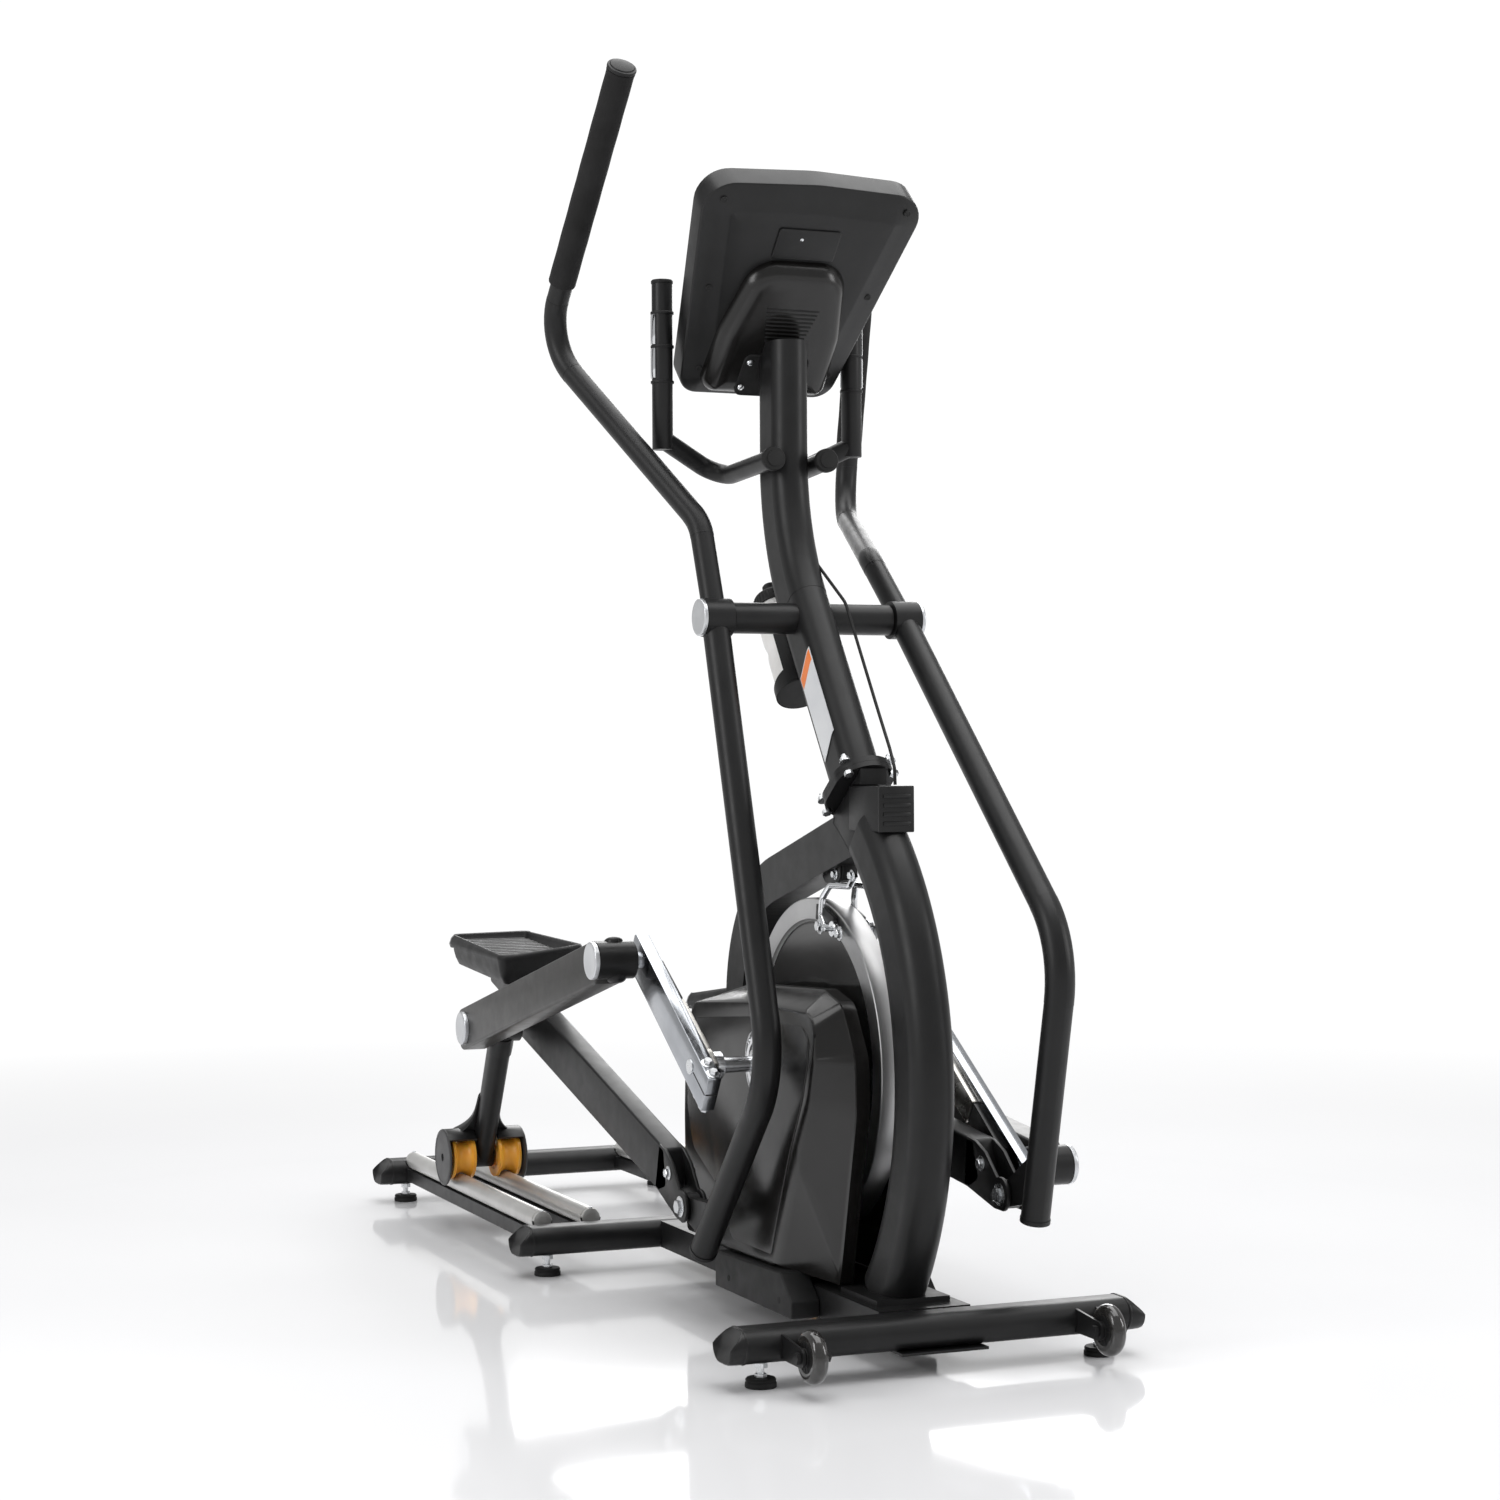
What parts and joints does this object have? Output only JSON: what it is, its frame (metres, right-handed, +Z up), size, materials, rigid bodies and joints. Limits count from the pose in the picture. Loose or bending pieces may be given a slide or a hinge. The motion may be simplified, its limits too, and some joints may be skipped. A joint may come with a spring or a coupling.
{
  "type": "elliptical trainer",
  "caption": "Cross trainer: crank and flywheel frame, rail rollers, swinging footplates and hand levers, fixed pulse grips, console and bottle.",
  "frame": {"origin": "centre of the plan at floor level, on the middle plane", "axes": "+X forward to the flywheel and console end, +Y to the left of the user, +Z up"},
  "size_m": [2.0745, 0.68, 2.0122],
  "materials": {
    "aluminium_tube": "satin",
    "amber": "translucent urethane",
    "black_paint": "satin powder coat",
    "black_plastic": "fine texture",
    "black_rubber": "matt",
    "bottle_white": "translucent, milky",
    "chrome": "polished",
    "dark_steel": "dull",
    "foam": "fine-grained foam",
    "gloss_black": "gloss",
    "red_plastic": "satin",
    "silver_cap": "silver lacquer",
    "steel": "turned",
    "zinc": "zinc plated"
  },
  "bodies": {
    "base": {"front_stabiliser": "black_paint", "mid_stabiliser": "black_paint", "rear_stabiliser": "black_paint", "stabiliser_caps": "black_plastic", "base_beam": "black_paint", "front_post": "black_paint", "rear_arch": "black_paint", "top_block": "black_plastic", "flange_plates": "black_paint", "flange_bolts": "zinc", "mast": "black_paint", "foot_pads": "black_rubber", "foot_studs": "zinc", "rail_bars": "black_paint", "rail_tubes": "aluminium_tube", "rail_caps": "black_plastic", "wheel_brackets": "black_paint", "cross_tube": "black_paint", "axle_covers": "chrome", "bearing_plates": "black_paint", "belts": "black_rubber", "brake_mount": "zinc", "shell_right": "gloss_black", "shell_left": "gloss_black", "foot_covers": "black_plastic", "lever_caps": "silver_cap", "handlebars": "black_paint", "pulse_plates": "chrome", "console_body": "black_plastic", "console_face": "black_plastic", "bottle_cage": "black_plastic", "brake_cable": "black_rubber"},
    "crank": {"crank_axle": "chrome", "crank_pulley": "black_plastic", "crank_right": "chrome", "crank_left": "chrome"},
    "flywheel": {"flywheel": "steel", "flywheel_disc": "gloss_black"},
    "jackshaft": {"jackshaft": "steel"},
    "brake": {"brake_shoe": "dark_steel"},
    "wheel_right": {"wheel_right": "black_rubber"},
    "wheel_left": {"wheel_left": "black_rubber"},
    "lever_right": {"lever_right": "black_paint", "hand_grip_right": "foam"},
    "lever_left": {"lever_left": "black_paint", "hand_grip_left": "foam"},
    "carriage_right": {"roller_covers_right": "black_plastic"},
    "carriage_left": {"roller_covers_left": "black_plastic"},
    "rollers_right": {"rollers_right": "amber"},
    "rollers_left": {"rollers_left": "amber"},
    "arm_right": {"arm_right": "black_paint", "arm_caps_right": "silver_cap"},
    "arm_left": {"arm_left": "black_paint", "arm_caps_left": "silver_cap"},
    "link_right": {"link_right": "black_paint", "footplate_right": "black_plastic"},
    "link_left": {"link_left": "black_paint", "footplate_left": "black_plastic"},
    "bottle": {"bottle": "bottle_white"},
    "stop_key": {"stop_key": "red_plastic"}
  },
  "joints": [
    {"name": "crank_spin", "type": "hinge", "parent": "base", "child": "crank", "pos_m": [0.50575, 0, 0.418], "axis": [0, -1, 0], "continuous": true},
    {"name": "flywheel_spin", "type": "hinge", "parent": "base", "child": "flywheel", "pos_m": [0.50575, 0, 0.418], "axis": [0, -1, 0], "continuous": true},
    {"name": "jackshaft_spin", "type": "hinge", "parent": "base", "child": "jackshaft", "pos_m": [0.30075, 0, 0.33], "axis": [0, -1, 0], "continuous": true},
    {"name": "brake_swing", "type": "hinge", "parent": "base", "child": "brake", "pos_m": [0.61882, 0, 0.67197], "axis": [0, -1, 0], "range_deg": [-2, 6]},
    {"name": "wheel_right_spin", "type": "hinge", "parent": "base", "child": "wheel_right", "pos_m": [0.99875, -0.2375, 0.058], "axis": [0, -1, 0], "continuous": true},
    {"name": "wheel_left_spin", "type": "hinge", "parent": "base", "child": "wheel_left", "pos_m": [0.99875, 0.2375, 0.058], "axis": [0, -1, 0], "continuous": true},
    {"name": "right_stride", "type": "slide", "parent": "base", "child": "carriage_right", "axis": [1, 0, 0], "range_m": [-0.04, 0.3892]},
    {"name": "left_stride", "type": "slide", "parent": "base", "child": "carriage_left", "axis": [1, 0, 0], "range_m": [-0.3912, 0.042]},
    {"name": "right_pitch", "type": "hinge", "parent": "carriage_right", "child": "arm_right", "pos_m": [-0.62925, -0.225, 0.137], "axis": [0, -1, 0], "range_deg": [-19, 2.4]},
    {"name": "left_pitch", "type": "hinge", "parent": "carriage_left", "child": "arm_left", "pos_m": [-0.24003, 0.225, 0.137], "axis": [0, -1, 0], "range_deg": [-2.4, 19]},
    {"name": "right_rollers", "type": "hinge", "parent": "carriage_right", "child": "rollers_right", "pos_m": [-0.62925, -0.225, 0.137], "axis": [0, -1, 0], "range_deg": [-701.86, 76.62]},
    {"name": "left_rollers", "type": "hinge", "parent": "carriage_left", "child": "rollers_left", "pos_m": [-0.24003, 0.225, 0.137], "axis": [0, -1, 0], "range_deg": [-76.62, 701.86]},
    {"name": "right_link_turn", "type": "hinge", "parent": "arm_right", "child": "link_right", "pos_m": [-0.49225, -0.165, 0.397], "axis": [0, -1, 0], "range_deg": [-3.26, 27.37]},
    {"name": "left_link_turn", "type": "hinge", "parent": "arm_left", "child": "link_left", "pos_m": [-0.02762, 0.165, 0.3401], "axis": [0, -1, 0], "range_deg": [-27.37, 3.26]},
    {"name": "right_lever_swing", "type": "hinge", "parent": "base", "child": "lever_right", "pos_m": [0.45915, -0.165, 1.125], "axis": [0, -1, 0], "range_deg": [-3.56, 30.26]},
    {"name": "left_lever_swing", "type": "hinge", "parent": "base", "child": "lever_left", "pos_m": [0.45915, 0.165, 1.125], "axis": [0, -1, 0], "range_deg": [-30.26, 3.56]},
    {"name": "bottle_lift", "type": "slide", "parent": "base", "child": "bottle", "axis": [-0.5821, 0, 0.8131], "range_m": [0, 0.14]},
    {"name": "stop_key_press", "type": "slide", "parent": "base", "child": "stop_key", "axis": [0.7199, 0, -0.694], "range_m": [0, 0.001], "stiffness_N_per_m": 300, "springref_m": -0.001}
  ],
  "couplings": [
    {"joint": "flywheel_spin", "follows": "crank_spin", "ratio": 9.8},
    {"joint": "jackshaft_spin", "follows": "crank_spin", "ratio": 5.9},
    {"joint": "left_stride", "follows": "right_stride", "ratio": -1},
    {"joint": "right_pitch", "follows": "right_stride", "rad_per_m": -0.82946},
    {"joint": "left_pitch", "follows": "right_stride", "rad_per_m": 0.82946},
    {"joint": "right_link_turn", "follows": "right_stride", "rad_per_m": 1.2048},
    {"joint": "left_link_turn", "follows": "right_stride", "rad_per_m": -1.2048},
    {"joint": "right_lever_swing", "follows": "right_stride", "rad_per_m": 1.3343},
    {"joint": "left_lever_swing", "follows": "right_stride", "rad_per_m": -1.3343},
    {"joint": "right_rollers", "follows": "right_stride", "rad_per_m": -31.25},
    {"joint": "left_rollers", "follows": "right_stride", "rad_per_m": 31.25}
  ]
}
